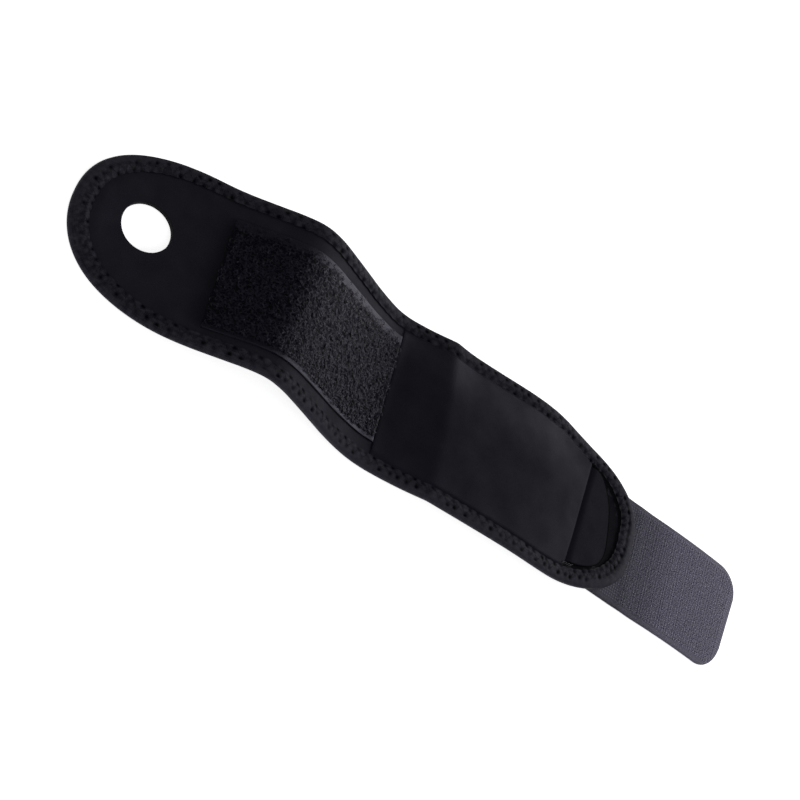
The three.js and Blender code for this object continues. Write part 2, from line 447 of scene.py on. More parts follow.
def thicken(bm, low, high):
    """Makes a flat sheet a closed one, between two heights that depend on the place."""
    for vert in verts_in(bmesh.ops.extrude_face_region(bm, geom=bm.faces[:])["geom"]):
        vert.co.z = 1
    for vert in bm.verts:
        s, y, upper = vert.co
        vert.co.z = high(s, y) if upper else low(s, y)
    bmesh.ops.recalc_face_normals(bm, faces=bm.faces)


def sharp_edges(bm):
    return [edge for edge in bm.edges if edge.calc_face_angle(0) > 1]


# The ground is a close warp knit, seen as dark ribs between the loops. The selvage has no pile, and
# shines a little. Their ribs, 0.5 mm apart, are drawn a little coarser so that they show.
def nylon_tape(name, dark, light, rib_pitch, relief, gloss):
    material = new_material(name)
    flat = add_node(material, "ShaderNodeUVMap", {}, uv_map="flat").outputs["UV"]
    yarns = {"Vector": flat, "Scale": WAVE_TURN / rib_pitch, "Distortion": 0.6}
    warp = add_node(material, "ShaderNodeTexWave", yarns, bands_direction="Y").outputs["Fac"]
    weft = add_node(material, "ShaderNodeTexWave", yarns).outputs["Fac"]
    weave = add_node(material, "ShaderNodeMath", {0: warp, 1: weft}, operation="MULTIPLY").outputs[0]
    dye = add_node(
        material, "ShaderNodeMix", {0: weave, 6: colour(dark), 7: colour(light)}, data_type="RGBA"
    )
    ribs = add_node(
        material, "ShaderNodeBump", {"Height": weave, "Strength": relief, "Distance": RELIEF_DEPTH}
    )
    set_surface(material, {
        "Base Color": dye.outputs[2],
        "Normal": ribs.outputs["Normal"],
        "Specular IOR Level": gloss,
        "Specular Tint": colour(NYLON_SHEEN),
        "Roughness": 0.5,
    })
    return material


loop_ground = nylon_tape("knitted_nylon_ground", "0b0a0f", "110f16", 0.9 * MM, 0.4, 0.08)
loop_selvage = nylon_tape("woven_nylon_selvage", "0a090c", "16151a", 0.7 * MM, 0.3, 0.31)

ROWS, COLUMNS = 96, 52
bm = strip_grid(ROWS, COLUMNS)
for vert in bm.verts:
    s = PATCH_START + (PATCH_END - PATCH_START) * vert.co.x / ROWS
    vert.co = (s, patch_middle(s) + PATCH_HALF * (2 * vert.co.y / COLUMNS - 1), 0)
thicken(bm, lambda s, y: PATCH_FOOT, lambda s, y: PATCH_TOP)
for face in bm.faces:
    s, y, _ = face.calc_center_median()
    across = y - patch_middle(s)
    if across < SELVAGES[0] - PATCH_HALF or across > PATCH_HALF - SELVAGES[1] or s > PATCH_END - CUT_END:
        face.material_index = 1
upper = [edge for edge in sharp_edges(bm) if all(round(vert.co.z, 3) == PATCH_TOP for vert in edge.verts)]
round_edges(bm, upper, PATCH_ROUNDING)
lay_on_wave(bm)
patch = make_piece("loop_tape", bm, loop_ground, loop_selvage)
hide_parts("loop_patch")

# The pile: brushed nylon loops pressed down into a mat about 1 mm deep. Each lies over as a flat curl
# up to 2 mm across, drawn as one strand, and the seam along the cut end draws them down.
LOOP_PITCH = 0.86
LOOP_RADIUS, LOOP_STRAND = 0.25, (0.08, 0.015)
PILE_CLUMP, PILE_TUFT = 2.1, 1.3
PILE_MARGINS = 0.9, 0.2
PILE_WIDTH, PILE_SPILL = 2 * PATCH_HALF - sum(SELVAGES), 3.4
PILE_SEAM, SEAM_PULL, SEAM_SPREAD = PATCH_END - 2.2, 0.6, 0.6
LOOP_TURN, LOOP_STEPS = math.radians(210), 5
LOOP_LEAN, LOOP_TILT, LOOP_RISE = 0.5, 0.4, 0.5
MATTED_TURN, MATTED_SHIFT = 0.3, 0.5
PILE_FOOT, PILE_DEPTH = 0.3, 0.8
# A fixed seed keeps the pile the same in every run.
PILE_SEED = 4
noise.seed_set(PILE_SEED)


def repeat(bm, count, step):
    """Repeats all of a mesh in a row."""
    first = bm.verts[:] + bm.edges[:] + bm.faces[:]
    for number in range(1, count):
        copy = bmesh.ops.duplicate(bm, geom=first)["geom"]
        bmesh.ops.translate(bm, verts=verts_in(copy), vec=step * number)


bm = bmesh.new()
upright = Matrix.Translation((LOOP_RADIUS, 0, 0)) @ Matrix.Rotation(math.pi / 2, 4, "X")
bmesh.ops.create_circle(bm, segments=3, radius=1, matrix=upright @ Matrix.Diagonal((*LOOP_STRAND, 1, 1)))
strand = bm.verts[:] + bm.edges[:]
bmesh.ops.spin(bm, geom=strand, cent=(0, 0, 0), axis=(0, 0, 1), angle=LOOP_TURN, steps=LOOP_STEPS)
bmesh.ops.holes_fill(bm, edges=bm.edges)
repeat(bm, int((PATCH_END - PATCH_START - sum(PILE_MARGINS)) / LOOP_PITCH), Vector((LOOP_PITCH, 0, 0)))
repeat(bm, int(PILE_WIDTH / LOOP_PITCH), Vector((0, LOOP_PITCH, 0)))
depth_layer = bm.verts.layers.float.new("pile_height")
loop_places = {}
for vert in bm.verts:
    cell = round(vert.co.x / LOOP_PITCH), round(vert.co.y / LOOP_PITCH)
    if cell not in loop_places:
        chance = noise.cell_vector(Vector((cell[0], cell[1], 0.5)))
        other = noise.cell_vector(Vector((cell[0], cell[1], 9.5)))
        s = PATCH_START + PILE_MARGINS[0] + LOOP_PITCH * (cell[0] + 1.8 * chance[0] - 0.6)
        spilt = PILE_SPILL * other[0] ** 1.3 if LOOP_PITCH * cell[1] > PILE_WIDTH - PILE_SPILL else 0
        y = patch_middle(s) - PATCH_HALF + SELVAGES[0] + LOOP_PITCH * (cell[1] + chance[1]) + spilt
        matted = noise.noise_vector(Vector((s, y, 0)) / PILE_CLUMP)
        turn = Matrix.Rotation(2 * math.pi * chance[2], 4, "Z")
        lean = Matrix.Rotation(LOOP_LEAN * (other[0] - 0.5) + MATTED_TURN * matted.x, 4, "X")
        tilt = Matrix.Rotation(LOOP_TILT * (other[1] - 0.5) + MATTED_TURN * matted.y, 4, "Y")
        drawn_down = SEAM_PULL * math.exp(-((s - PILE_SEAM) / SEAM_SPREAD) ** 2)
        rise = PILE_FOOT + LOOP_RISE * other[2] + MATTED_TURN * matted.z - drawn_down
        aside = MATTED_SHIFT * matted
        shift = Matrix.Translation((s + aside.x, y + aside.y, PATCH_TOP + rise))
        loop_places[cell] = shift @ lean @ tilt @ turn @ Matrix.Scale(2 + 1.6 * other[1], 4)
    vert.co = loop_places[cell] @ (vert.co - Vector((cell[0] * LOOP_PITCH, cell[1] * LOOP_PITCH, 0)))
    vert[depth_layer] = smoothstep(PATCH_TOP, PATCH_TOP + PILE_DEPTH, vert.co.z)
bmesh.ops.recalc_face_normals(bm, faces=bm.faces)
lay_on_wave(bm)

# Nylon filament is glossy, so each loop has a bright side. Deep in the pile the colour is painted darker and
# the gloss weaker: painted shade.
pile_nylon = new_material("brushed_nylon_pile")
flat = add_node(pile_nylon, "ShaderNodeUVMap", {}, uv_map="flat").outputs["UV"]
height = add_node(pile_nylon, "ShaderNodeAttribute", {}, attribute_name="pile_height").outputs["Fac"]
clumps = add_node(
    pile_nylon, "ShaderNodeTexNoise", {"Vector": flat, "Scale": 1 / (PILE_CLUMP * MM), "Detail": 3}
).outputs["Fac"]
tip = add_node(
    pile_nylon, "ShaderNodeMix", {0: clumps, 6: colour("0e0d13"), 7: colour("18171f")}, data_type="RGBA"
)
dye = add_node(
    pile_nylon, "ShaderNodeMix", {0: height, 6: colour("0e0d13"), 7: tip.outputs[2]}, data_type="RGBA"
)
tufts = add_node(
    pile_nylon, "ShaderNodeTexNoise", {"Vector": flat, "Scale": 1 / (PILE_TUFT * MM), "Detail": 2}
).outputs["Fac"]
shine = add_node(pile_nylon, "ShaderNodeMapRange", {"Value": tufts, 1: 0.35, 2: 0.65, 3: 0.1, 4: 0.29})
gloss = add_node(pile_nylon, "ShaderNodeMath", {0: height, 1: shine.outputs[0]}, operation="MULTIPLY")
set_surface(pile_nylon, {
    "Base Color": dye.outputs[2],
    "Specular IOR Level": gloss.outputs[0],
    "Specular Tint": colour(NYLON_SHEEN),
    "Roughness": 0.45,
})
pile = make_piece("loop_pile", bm, pile_nylon, crease=18)


# Stay pad: a flat flexible stay in a jersey sleeve, slipped into the pocket. Its rounded end shows in the
# pocket's mouth, with a narrow band of painted shade round its edge.
STAY_EDGE = {"half": 25.2, "start": 176, "end": 285.8, "start_round": (12, 3), "end_round": (30, 3)}
STAY_FOOT, STAY_THICKNESS, STAY_ROUNDING = 0.35, 0.65, 0.2
MOUTH, MOUTH_ASKEW = 267.5, 0.085
SPRING, SPRING_GAP, SPRING_REACH, SPRING_SLOPE = 1.3, 0.2, 3.8, 0.015
STAY_SKEW_STARTS, STAY_END_ASKEW = (200, 262), -0.12
STAY_EDGE_SHADE, EDGE_SHADE_DULLS = (0.15, 0.9), 0.85


def stay_foot(s, y):
    """The stay's lower face, which springs up beyond the pocket's mouth."""
    beyond = s - MOUTH - MOUTH_ASKEW * y
    sprung = clamp((beyond - SPRING_GAP) / (SPRING_REACH - SPRING_GAP))
    return STAY_FOOT + SPRING * sprung * (2 - sprung) + SPRING_SLOPE * max(beyond, 0)


# Its rows follow its round ends, and the askew mouth where it springs up.
stay_rows = [STAY_EDGE["start"] + 12 * (1 - math.cos(math.pi / 20 * i)) for i in range(10)]
stay_rows += [188 + 4 * i for i in range(20)]
stay_rows += [MOUTH + SPRING_GAP + (SPRING_REACH - SPRING_GAP) * (i / 4 - 0.25) for i in range(6)]
stay_rows += [STAY_EDGE["end"] - 12.6 * (1 - math.sin(math.pi / 48 * i)) for i in range(25)]


def skewed(s, y):
    """A place on the stay, moved along it as its end is askew."""
    ended = smoothstep(MOUTH + SPRING_REACH, STAY_EDGE["end"], s)
    askew = MOUTH_ASKEW * smoothstep(*STAY_SKEW_STARTS, s) * (1 - ended) + STAY_END_ASKEW * ended
    return s + askew * y, y


def shines_by(material, attribute):
    """Multiplies a material's gloss by an attribute of the piece."""
    plain = feeding(material, "Specular IOR Level")
    share = add_node(material, "ShaderNodeAttribute", {}, attribute_name=attribute).outputs["Fac"]
    shining = add_node(material, "ShaderNodeMath", {0: share, 1: plain}, operation="MULTIPLY")
    set_surface(material, {"Specular IOR Level": shining.outputs[0]})


# The sleeve's jersey is like the band's. A narrow band round its edge is painted darker and duller: painted
# shade.
stay_jersey = jersey("nylon_jersey_sleeve", "151419", "1d1c22", 0.0165)
paint_towards(stay_jersey, "stay_edge_shade", "050406")
shines_by(stay_jersey, "sheen")
COLUMNS = 36
bm = strip_grid(len(stay_rows) - 1, COLUMNS)
for vert in bm.verts:
    s = stay_rows[int(vert.co.x)]
    across = math.sin(math.pi * (vert.co.y / COLUMNS - 0.5))
    vert.co = (*skewed(s, across * half_width(STAY_EDGE, s)), 0)
bmesh.ops.remove_doubles(bm, verts=bm.verts, dist=1e-4)
thicken(bm, stay_foot, lambda s, y: stay_foot(s, y) + STAY_THICKNESS)
round_edges(bm, sharp_edges(bm), STAY_ROUNDING)
stay_tree = search_tree([skewed(*place) for place in edge_line(STAY_EDGE, SEARCH_STEPS)[0]])
stay_shade_layer = bm.verts.layers.float.new("stay_edge_shade")
sheen_layer = bm.verts.layers.float.new("sheen")
# Painted shade: colour and gloss are darkened within about a millimetre of the stay's edge.
for vert in bm.verts:
    vert[stay_shade_layer] = 1 - smoothstep(*STAY_EDGE_SHADE, stay_tree.find((*vert.co.xy, 0))[2])
    vert[sheen_layer] = 1 - EDGE_SHADE_DULLS * vert[stay_shade_layer]
lay_on_wave(bm)
stay = make_piece("stay", bm, stay_jersey)
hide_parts("stay_pad")


# Pocket panel: thin jersey-faced neoprene over the stay, sewn in under the binding along both sides.
# Its far end is a straight raw cut, the pocket's mouth, which runs a little askew.
PANEL_THICKNESS, PANEL_ROUNDING = 0.8, 0.18
PANEL_UNDER_TAPE = 1.2
PANEL_SEWN_THICKNESS, PANEL_START_THICKNESS = 0.6, 0.45
SIDE_RISE, CROWN, CROWN_REACH = 0.75, 0.9, 15
MOUTH_DROP, MOUTH_REACH = 0.6, 9
UPPER_SHEEN, UPPER_ACROSS, UPPER_ENDS = 2.1, (3, 26), (232, 262)
LOWER_SHEEN, LOWER_ACROSS, LOWER_ENDS = 0.4, (16, 28), (225, 250)
SLACK, SLACK_STARTS, SLACK_ENDS, SLACK_ACROSS, SLACK_MIDDLE = 0.42, (200, 242), (254, 268), (3, 18), -2
PANEL_EDGE = moved_in(TAPE_INNER_EDGE, -PANEL_UNDER_TAPE)


def panel_foot(s, y):
    """The panel's lower face: down on the band along its sides, over the stay, and down to its mouth."""
    inside = inside_tape(s, y)
    started = smoothstep(0, POCKET_RAMP, s - POCKET_START)
    low = BAND_TOP + (POCKET_FLOOR - BAND_TOP) * started
    sewn = min(low, TONGUE_TOP) + 0.05
    bedded = sewn + (low + 0.05 - sewn) * smoothstep(-0.5, 2.5, inside)
    to_mouth = MOUTH + MOUTH_ASKEW * y - s
    crown = CROWN - MOUTH_DROP * (1 - clamp(to_mouth / MOUTH_REACH)) ** 2
    over_stay = SIDE_RISE * smoothstep(-0.6, 1, inside) + crown * smoothstep(0.3, CROWN_REACH, inside)
    return bedded + over_stay * started


def panel_top(s, y):
    full = smoothstep(-0.6, 1, inside_tape(s, y))
    thickness = PANEL_SEWN_THICKNESS + (PANEL_THICKNESS - PANEL_SEWN_THICKNESS) * full
    started = smoothstep(0, POCKET_RAMP, s - POCKET_START)
    return panel_foot(s, y) + PANEL_START_THICKNESS + (thickness - PANEL_START_THICKNESS) * started


def panel_sheen(s, y):
    """How much the panel shines: more where it is drawn tight along its sides, less in its slack middle."""
    upper = smoothstep(*UPPER_ACROSS, y) * (1 - smoothstep(*UPPER_ENDS, s))
    lower = smoothstep(*LOWER_ACROSS, -y) * (1 - smoothstep(*LOWER_ENDS, s))
    slack_along = smoothstep(*SLACK_STARTS, s) * (1 - smoothstep(*SLACK_ENDS, s))
    slack = slack_along * (1 - smoothstep(*SLACK_ACROSS, abs(y - SLACK_MIDDLE)))
    return 1 + UPPER_SHEEN * upper ** 1.5 + LOWER_SHEEN * lower - SLACK * slack


# The panel's jersey is like the band's, smoother for being stretched.
panel_jersey = jersey("nylon_jersey_panel", "16151b", "1e1d24", 0.0246)
shines_by(panel_jersey, "sheen")
ROWS, COLUMNS = 74, 64
bm = strip_grid(ROWS, COLUMNS)
for vert in bm.verts:
    along, across = vert.co.x / ROWS, math.sin(math.pi * (vert.co.y / COLUMNS - 0.5))
    s = POCKET_START + (MOUTH - POCKET_START) * along
    y = across * half_width(PANEL_EDGE, s)
    vert.co = (s + MOUTH_ASKEW * y * along ** 6, y, 0)
thicken(bm, panel_foot, panel_top)
round_edges(bm, sharp_edges(bm), PANEL_ROUNDING)
sheen_layer = bm.verts.layers.float.new("sheen")
for vert in bm.verts:
    vert[sheen_layer] = panel_sheen(*vert.co.xy)
lay_on_wave(bm)
panel = make_piece("panel", bm, panel_jersey)
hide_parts("pocket_panel")


# Hook strap: 50 mm woven nylon hook tape, its corners cut round, sewn under the band's strap end and
# lying flat on the table. Rows of small hooks stand between two plain selvages.
STRAP_HALF = 26
STRAP_ROOT, STRAP_FREE, STRAP_CORNERS = -36, 69.2, (15, 12.5)
STRAP_GROUND, STRAP_ROUNDING = 1.0, 0.25
STRAP_SEWN_RISE, STRAP_RAMP, STRAP_ARCH = 0.8, 13, 1.6
STRAP_END_ASKEW = 0.1
STRAP_Y, STRAP_TURN = -2.7, math.radians(-2.4)
STRAP_SELVAGES = 3.0, 1.0
band_end_x = middle_line(BAND_LENGTH)[0] + THUMB_END_X
strap_place = Matrix.Translation((band_end_x, STRAP_Y, 0)) @ Matrix.Rotation(STRAP_TURN, 4, "Z")


def lay_strap(bm):
    """Lays the strap on the table, in a low arch, with its root up against the band's foot."""
    keep_flat_cut(bm)
    for vert in bm.verts:
        along = clamp(vert.co.x / STRAP_FREE)
        sewn = STRAP_SEWN_RISE * (1 - smoothstep(0, STRAP_RAMP, vert.co.x))
        arched = STRAP_ARCH * 4 * along * (1 - along)
        askew = STRAP_END_ASKEW * vert.co.y * along ** 4
        vert.co = MM * (strap_place @ (vert.co + Vector((askew, 0, sewn + arched))))


def strap_side(t, corner):
    """How far the strap's edge is from its middle at t, on the side whose corner has this radius."""
    reach = clamp(t - STRAP_FREE + corner, 0, corner)
    return STRAP_HALF - corner + math.sqrt(corner ** 2 - reach ** 2)


# Woven nylon hook tape is a dull grey basket weave, and its selvage is closer. Its yarns, 0.6 mm apart,
# are drawn coarser so that they show. Within 30 mm of its root it is painted darker: painted shade from the
# band.
ROOT_SHADE, ROOT_SHADE_REACH = 0.39, 30 * MM


def paint_root_shade(material):
    plain = feeding(material, "Base Color")
    flat = add_node(material, "ShaderNodeUVMap", {}, uv_map="flat").outputs["UV"]
    along = add_node(material, "ShaderNodeSeparateXYZ", {0: flat}).outputs["X"]
    shade = add_node(
        material, "ShaderNodeMapRange", {"Value": along, 1: 0, 2: ROOT_SHADE_REACH, 3: 1 - ROOT_SHADE, 4: 0}
    ).outputs[0]
    shaded = add_node(material, "ShaderNodeMix", {0: shade, 6: plain, 7: colour("000000")}, data_type="RGBA")
    set_surface(material, {"Base Color": shaded.outputs[2]})


hook_ground = nylon_tape("woven_nylon_hook_tape", "4c4a58", "787587", 1.3 * MM, 0.5, 0.1)
hook_selvage = nylon_tape("woven_nylon_hook_selvage", "4f4d5a", "64626f", 0.7 * MM, 0.3, 0.1)
paint_root_shade(hook_ground)
paint_root_shade(hook_selvage)
ROWS, COLUMNS, CORNER_ROWS = 70, 40, 14
bm = strip_grid(ROWS, COLUMNS)
for vert in bm.verts:
    straight = ROWS - CORNER_ROWS
    if vert.co.x <= straight:
        t = STRAP_ROOT + (STRAP_FREE - STRAP_CORNERS[0] - STRAP_ROOT) * vert.co.x / straight
    else:
        turned = math.pi / 2 * (vert.co.x - straight) / CORNER_ROWS
        t = STRAP_FREE - STRAP_CORNERS[0] * (1 - math.sin(turned))
    lower, upper = (strap_side(t, corner) for corner in STRAP_CORNERS)
    vert.co = (t, (lower + upper) * vert.co.y / COLUMNS - lower, 0)
thicken(bm, lambda t, y: 0, lambda t, y: STRAP_GROUND)
for face in bm.faces:
    t, y, _ = face.calc_center_median()
    if y < STRAP_SELVAGES[0] - STRAP_HALF or y > STRAP_HALF - STRAP_SELVAGES[1]:
        face.material_index = 1
round_edges(bm, sharp_edges(bm), STRAP_ROUNDING)
lay_strap(bm)
strap = make_piece("hook_tape", bm, hook_ground, hook_selvage)
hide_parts("hook_strap")

# The hooks: crooks of nylon monofilament 0.8 mm high, woven into the tape as loops and cut open at one
# side. They stand in rows that face both ways in turn.
HOOK_PITCH, HOOK_ROW = 1.3, 1.7
HOOK_THREAD, HOOK_POST, HOOK_CROOK = 0.14, 0.4, 0.25
HOOK_TURN, HOOK_STEPS = math.radians(200), 4
HOOK_START, HOOK_MARGIN = 2.5, 1.2
HOOK_SCATTER, HOOK_LEAN, HOOK_STRETCH, HOOK_SUNK = 0.35, 0.15, 1.1, 0.05
HOOK_BATCH = 2.6

bm = bmesh.new()
bmesh.ops.create_circle(bm, segments=4, radius=HOOK_THREAD, matrix=Matrix.Translation((-HOOK_CROOK, 0, 0)))
stem = bmesh.ops.extrude_edge_only(bm, edges=bm.edges[:])["geom"]
top_ring = [item for item in stem if not isinstance(item, bmesh.types.BMFace)]
bmesh.ops.translate(bm, verts=verts_in(top_ring), vec=(0, 0, HOOK_POST))
bmesh.ops.spin(bm, geom=top_ring, cent=(0, 0, HOOK_POST), axis=(0, 1, 0), angle=HOOK_TURN, steps=HOOK_STEPS)
bmesh.ops.holes_fill(bm, edges=bm.edges)
repeat(bm, int((STRAP_FREE - HOOK_MARGIN - HOOK_START) / HOOK_ROW), Vector((HOOK_ROW, 0, 0)))
repeat(bm, int((2 * STRAP_HALF - sum(STRAP_SELVAGES)) / HOOK_PITCH), Vector((0, HOOK_PITCH, 0)))
beyond = []
for vert in bm.verts:
    row, column = round(vert.co.x / HOOK_ROW), round(vert.co.y / HOOK_PITCH)
    x, y, z = vert.co - Vector((row * HOOK_ROW, column * HOOK_PITCH, 0))
    chance = noise.cell_vector(Vector((row, column, 0.5)))
    faced = -x if column % 2 else x
    t = HOOK_START + HOOK_ROW * (row + HOOK_SCATTER * (chance[0] - 0.5))
    across = STRAP_SELVAGES[0] - STRAP_HALF + HOOK_PITCH * (column + 0.5 + HOOK_SCATTER * (chance[1] - 0.5))
    leaning = HOOK_LEAN * (chance[2] - 0.5) * z
    vert.co = (t + faced * HOOK_STRETCH, across + y + leaning, STRAP_GROUND - HOOK_SUNK + z)
    corner = STRAP_CORNERS[across > 0]
    if t > STRAP_FREE - HOOK_MARGIN or abs(across) > strap_side(t + HOOK_MARGIN, corner):
        beyond.append(vert)
bmesh.ops.delete(bm, geom=beyond, context="VERTS")
bmesh.ops.recalc_face_normals(bm, faces=bm.faces)
lay_strap(bm)

# Monofilament is smooth, so each hook catches the light as a pale fleck, and batches of them differ.
monofilament = new_material("nylon_monofilament")
flat = add_node(monofilament, "ShaderNodeUVMap", {}, uv_map="flat").outputs["UV"]
batch = add_node(
    monofilament, "ShaderNodeTexNoise", {"Vector": flat, "Scale": 1 / (HOOK_BATCH * MM), "Detail": 3}
).outputs["Fac"]
dye = add_node(
    monofilament, "ShaderNodeMix", {0: batch, 6: colour("727080"), 7: colour("bab8cb")}, data_type="RGBA"
)
set_surface(monofilament, {"Base Color": dye.outputs[2], "Roughness": 0.4})
# The hooks too are painted darker near the strap's root: painted shade.
paint_root_shade(monofilament)
hooks = make_piece("hooks", bm, monofilament, crease=180)


# Edge binding: a soft knitted tape folded over the band's edge all round and sewn down with a zigzag.
# The needle draws it into a dimple at each hole, so its face is puckered and its inner edge waves.
ZIGZAG_PITCH = 4.7
NEEDLE_ROWS = 3.9, 0.7
NEEDLE_SINK, NEEDLE_SPREAD, NEEDLE_LEAST = 0.3, 1.0, 0.3
NEEDLE_SCATTER = 0.4, 1.1
GROOVE, GROOVE_SPREAD, GROOVE_ENDS = 0.5, 0.6, (0.025, 0.055)
TAPE_FOLD, TAPE_FACE, TAPE_SEWN, SEWN_REACH = 1.55, 2.0, 1.45, 2.4
TAPE_THINNEST, SCALLOP, SECTION_STEP = 0.15, 0.15, 0.45
FOLD_DEPTH, FOLD_POWER = 1.5, 2.2
SLOT_TOP, SLOT_FOOT, SLOT_BACK = 0.62, -1.02, 1.2
SLOT_LIP, SLOT_MOUTH = 1.2, 2.5
STRAP_ROLL, STRAP_ROLL_DEPTH, STRAP_ROLL_NARROWS = 0.7, 0.75, 1.7
ROLL_STARTS, ROLL_ENDS = (0.42, 0.45), (0.474, 0.498)
FOLD_LIGHT, FOLD_LIGHT_DEPTHS, FOLD_LIGHT_ACROSS, FOLD_LIGHT_ALONG = 0.5, (2, 4.5), (-15, 15), (40, 140)
EDGE_STEPS = 1240
FACE_STEPS, FOLD_STEPS = 17, 8

edge_places, edge_length = edge_line(BAND_EDGE, EDGE_STEPS)
zigzags = round(edge_length / ZIGZAG_PITCH)


def tape_width(place, inward):
    """How far the tape's inner edge is from a place on its fold."""
    near, far = 4.0, 16.0
    while far - near > 0.01:
        middle = (near + far) / 2
        s, y = place + inward * middle
        if abs(y) < half_width(TAPE_INNER_EDGE, s):
            far = middle
        else:
            near = middle
    return far


def needle_rows(width):
    """How far the zigzag's outer and inner needle holes are from the fold."""
    return [width - row for row in NEEDLE_ROWS]


def pull(turn, depth, width):
    """How strongly the needle holes draw the tape in at a place, from 0 to about 1."""
    total = 0
    for row, needle in enumerate(needle_rows(width)):
        number = round(turn - row / 2)
        chance = noise.cell_vector(Vector((number % zigzags + 0.5, row + 0.5, 0.5)))
        along = (turn - row / 2 - number + NEEDLE_SCATTER[0] * (chance[0] - 0.5)) * edge_length / zigzags
        away = math.hypot(along, depth - needle + NEEDLE_SCATTER[1] * (chance[1] - 0.5))
        total += (NEEDLE_LEAST + chance[2]) * math.exp(-(away / NEEDLE_SPREAD) ** 2)
    to_strap_end = abs(turn / zigzags - 0.5)
    seam = (depth - needle_rows(width)[0] + GROOVE_SPREAD) / GROOVE_SPREAD
    return total + GROOVE * (1 - smoothstep(*GROOVE_ENDS, to_strap_end)) * math.exp(-seam ** 2)


def slot_top(depth, width):
    """The height of the slot under the tape's upper side, which opens towards the inner edge."""
    opened = clamp(1 - (width - depth) / SLOT_MOUTH)
    return SLOT_TOP + (SLOT_LIP - SLOT_TOP) * opened


def rolled(share):
    """How fully the tape is rolled back, on the strap end's upper half, at a share of the way round."""
    return smoothstep(*ROLL_STARTS, share) * (1 - smoothstep(*ROLL_ENDS, share))


def rolled_up(turn, depth, width):
    """How much higher the tape's upper face is where it is rolled back."""
    return STRAP_ROLL * rolled(turn / zigzags) * max(STRAP_ROLL_DEPTH - depth / width, 0)


def tape_height(turn, depth, width):
    """The height of the tape's upper face over the band's middle, at a depth in from its fold."""
    if depth < FOLD_DEPTH:
        return TAPE_FOLD * (1 - (1 - depth / FOLD_DEPTH) ** FOLD_POWER) ** (1 / FOLD_POWER)
    puffed = (TAPE_FACE - TAPE_FOLD) * smoothstep(FOLD_DEPTH - 1, FOLD_DEPTH + 2.5, depth)
    pressed = (TAPE_FACE - TAPE_SEWN) * smoothstep(width - SEWN_REACH, width, depth)
    sunk = NEEDLE_SINK * pull(turn, depth, width) * smoothstep(FOLD_DEPTH, FOLD_DEPTH + 0.5, depth)
    return max(TAPE_FOLD + puffed - pressed - sunk, slot_top(depth, width) + TAPE_THINNEST)


def tape_section(turn, width):
    """Depth, height and pull round the folded tape's section, from its upper inner edge and back."""
    scallop = width + SCALLOP * math.cos(2 * math.pi * turn)
    depths = [scallop + (FOLD_DEPTH - scallop) * i / FACE_STEPS for i in range(FACE_STEPS)]
    face = [(depth, tape_height(turn, depth, width), pull(turn, depth, width)) for depth in depths]
    upper = [(depth, height + rolled_up(turn, depth, width), drawn) for depth, height, drawn in face]
    fold = [
        (FOLD_DEPTH * (1 - math.cos(a) ** (2 / FOLD_POWER)),
         math.copysign(TAPE_FOLD * abs(math.sin(a)) ** (2 / FOLD_POWER), a)
         + rolled_up(turn, FOLD_DEPTH, width) * max(math.sin(a), 0), 0)
        for a in (math.pi / 2 - math.pi * i / FOLD_STEPS for i in range(FOLD_STEPS))
    ]
    lower = [(depth, -height, drawn) for depth, height, drawn in reversed(face)]
    slot = [
        (scallop, SLOT_FOOT - 0.2, 1), (scallop - 0.3, SLOT_FOOT, 1), (SLOT_BACK, SLOT_FOOT, 1),
        (SLOT_BACK, SLOT_TOP, 1), (scallop - SLOT_MOUTH, SLOT_TOP, 1), (scallop, SLOT_LIP, 1),
    ]
    return upper + fold + lower + slot


edge_frames = []
for number, place in enumerate(edge_places):
    along = (edge_places[(number + 1) % EDGE_STEPS] - edge_places[number - 1]).normalized()
    inward = Vector((along.y, -along.x))
    width = tape_width(place, inward) - STRAP_ROLL_NARROWS * rolled(number / EDGE_STEPS)
    edge_frames.append((place, inward, width))
SECTION = len(tape_section(0, 7))
sections = [
    tape_section(zigzags * number / EDGE_STEPS, width) for number, (_, _, width) in enumerate(edge_frames)
]
bm = strip_grid(EDGE_STEPS, SECTION)
flat = bm.loops.layers.uv.new("flat")
for face in bm.faces:
    for corner in face.loops:
        number, part, _ = corner.vert.co
        corner[flat].uv = number * edge_length / EDGE_STEPS * MM, part * SECTION_STEP * MM
hole_shade_layer = bm.verts.layers.float.new("needle_hole_shade")
fold_light_layer = bm.verts.layers.float.new("fold_painted_light")
for vert in bm.verts:
    number, part = int(vert.co.x) % EDGE_STEPS, int(vert.co.y) % SECTION
    place, inward, _ = edge_frames[number]
    depth, height, vert[hole_shade_layer] = sections[number][part]
    s, y = place + inward * depth
    # Painted light: the fold is painted paler, except on the lower side near the thumb end.
    lit_share = max(smoothstep(*FOLD_LIGHT_ACROSS, y), smoothstep(*FOLD_LIGHT_ALONG, s))
    vert[fold_light_layer] = FOLD_LIGHT * lit_share * (1 - smoothstep(*FOLD_LIGHT_DEPTHS, depth))
    vert.co = lay(s, y, height)
bmesh.ops.remove_doubles(bm, verts=bm.verts, dist=1e-6)
bmesh.ops.recalc_face_normals(bm, faces=bm.faces)

